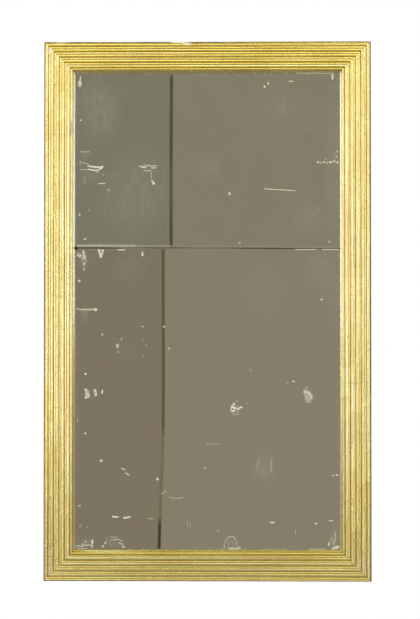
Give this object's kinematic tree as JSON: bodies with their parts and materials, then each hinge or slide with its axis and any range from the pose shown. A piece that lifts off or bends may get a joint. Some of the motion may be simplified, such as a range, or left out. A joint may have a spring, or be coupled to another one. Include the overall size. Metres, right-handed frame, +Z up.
{
  "type": "pier mirror",
  "caption": "Tall narrow wall mirror with a reeded giltwood frame, jointed antique mirror plates, boarded back and iron hanging rings.",
  "frame": {"origin": "centre of the back plane, on the middle backboard's rear face", "axes": "+Z up the mirror, +Y out of the back towards the wall, so the glass faces -Y, and +X to the right seen from the front"},
  "size_m": [0.972, 0.058, 1.6],
  "materials": {
    "gilt_wood": "worn water gilding over bole and gesso, rubbed on the reeds and dark in the quirks",
    "pine": "old pine, outer edges stained dark",
    "back_pine": "oxidised rough-sawn pine, dusty",
    "mirror_plate": "old tin-mercury silvering, foxed and flaked at the edges",
    "iron": "hand-forged iron, brown with rust"
  },
  "bodies": {
    "frame": {"stile_left": "pine", "stile_right": "pine", "rail_top": "pine", "rail_bottom": "pine", "corner_peg_top_left": "pine", "corner_peg_top_right": "pine", "corner_peg_bottom_left": "pine", "corner_peg_bottom_right": "pine", "moulding_left": "gilt_wood", "moulding_right": "gilt_wood", "moulding_top": "gilt_wood", "moulding_bottom": "gilt_wood", "mirror_plate_upper": "mirror_plate", "mirror_plate_lower": "mirror_plate", "joint_batten": "pine", "glue_block_left_1": "pine", "glue_block_left_2": "pine", "glue_block_left_3": "pine", "glue_block_right_1": "pine", "glue_block_right_2": "pine", "glue_block_right_3": "pine", "glue_block_top_1": "pine", "glue_block_top_2": "pine", "glue_block_bottom_1": "pine", "glue_block_bottom_2": "pine", "backboard_1": "back_pine", "backboard_2": "back_pine", "backboard_3": "back_pine", "backboard_4": "back_pine", "backboard_5": "back_pine", "hanger_strap_left": "iron", "hanger_strap_right": "iron", "hanger_screw_left_upper": "iron", "hanger_screw_left_lower": "iron", "hanger_screw_right_upper": "iron", "hanger_screw_right_lower": "iron", "nail_top_1a": "iron", "nail_top_1b": "iron", "nail_top_2a": "iron", "nail_top_2b": "iron", "nail_top_3a": "iron", "nail_top_3b": "iron", "nail_top_4a": "iron", "nail_top_4b": "iron", "nail_top_5a": "iron", "nail_top_5b": "iron", "nail_bottom_1a": "iron", "nail_bottom_1b": "iron", "nail_bottom_2a": "iron", "nail_bottom_2b": "iron", "nail_bottom_3a": "iron", "nail_bottom_3b": "iron", "nail_bottom_4a": "iron", "nail_bottom_4b": "iron", "nail_bottom_5a": "iron", "nail_bottom_5b": "iron"},
    "ring_left": {"hanger_ring_left": "iron"},
    "ring_right": {"hanger_ring_right": "iron"}
  },
  "joints": [
    {"name": "ring_left_swing", "type": "hinge", "parent": "frame", "child": "ring_left", "pos_m": [-0.454, 0.005, 0.64], "axis": [1, 0, 0], "range_deg": [0, 180]},
    {"name": "ring_right_swing", "type": "hinge", "parent": "frame", "child": "ring_right", "pos_m": [0.454, 0.005, 0.64], "axis": [1, 0, 0], "range_deg": [0, 180]}
  ]
}
